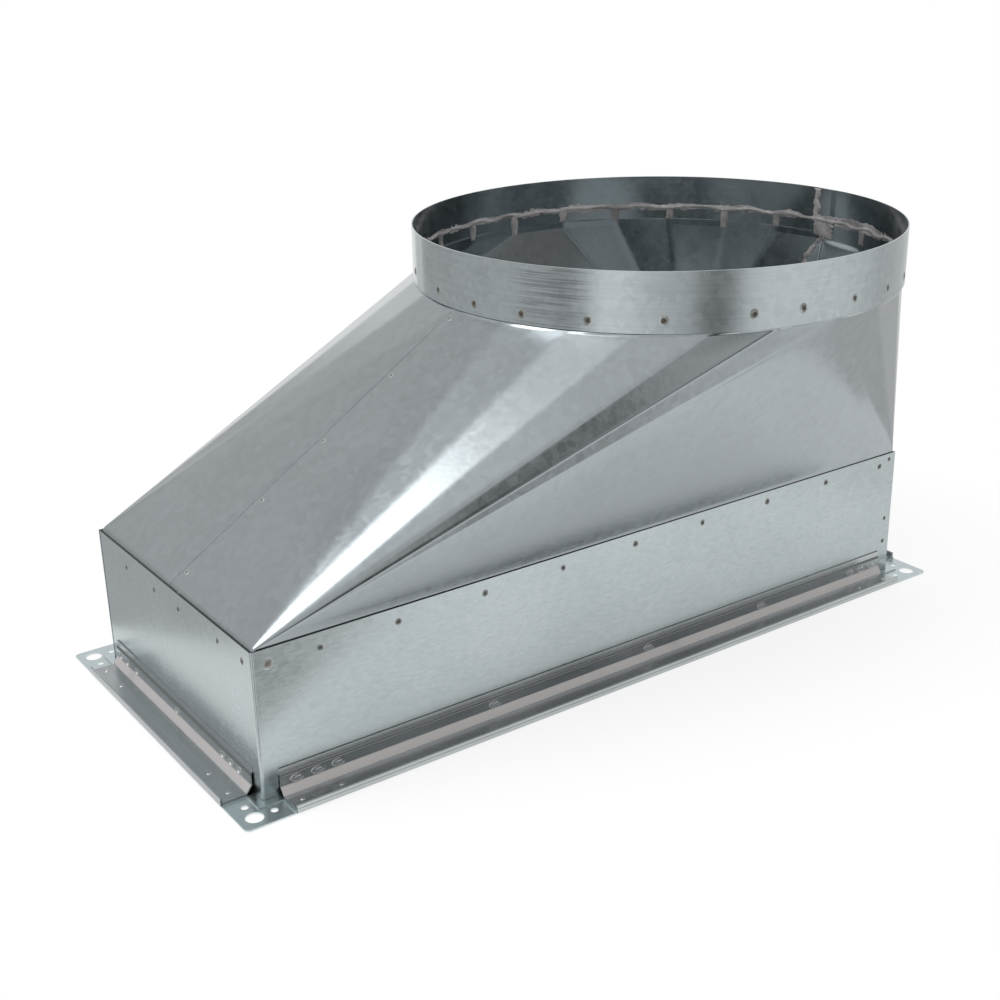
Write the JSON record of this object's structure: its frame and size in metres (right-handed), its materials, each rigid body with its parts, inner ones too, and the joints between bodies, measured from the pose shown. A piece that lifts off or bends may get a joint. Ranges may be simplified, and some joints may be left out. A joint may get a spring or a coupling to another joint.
{
  "type": "duct transition piece",
  "caption": "Galvanised sheet-steel duct transition: a flanged rectangular neck folds up to an offset round collar, joining a rectangular duct or unit to round duct.",
  "frame": {"origin": "middle of the four flange bolt holes, on the flange's mating plane", "axes": "+Z from the flange up to the round collar; +X along the neck's long side, towards the end that the round collar is offset to; +Y across the neck"},
  "size_m": [0.5293, 0.314, 0.248],
  "materials": {
    "galvanised_steel": "hot-dip galvanised, fine spangle",
    "joint_sealant": "matt, hand laid"
  },
  "bodies": {
    "root": {"transition_half_front": "galvanised_steel", "transition_half_rear": "galvanised_steel", "round_collar": "galvanised_steel", "neck_panel_front_left": "galvanised_steel", "neck_panel_rear_right": "galvanised_steel", "flange_rail_front": "galvanised_steel", "flange_rail_rear": "galvanised_steel", "flange_rail_left": "galvanised_steel", "flange_rail_right": "galvanised_steel", "flange_corner_front_left": "galvanised_steel", "flange_corner_front_right": "galvanised_steel", "flange_corner_rear_left": "galvanised_steel", "flange_corner_rear_right": "galvanised_steel", "collar_sealant": "joint_sealant", "collar_seam_sealant": "joint_sealant", "body_seam_sealant_right": "joint_sealant", "body_seam_sealant_left": "joint_sealant"}
  },
  "joints": []
}
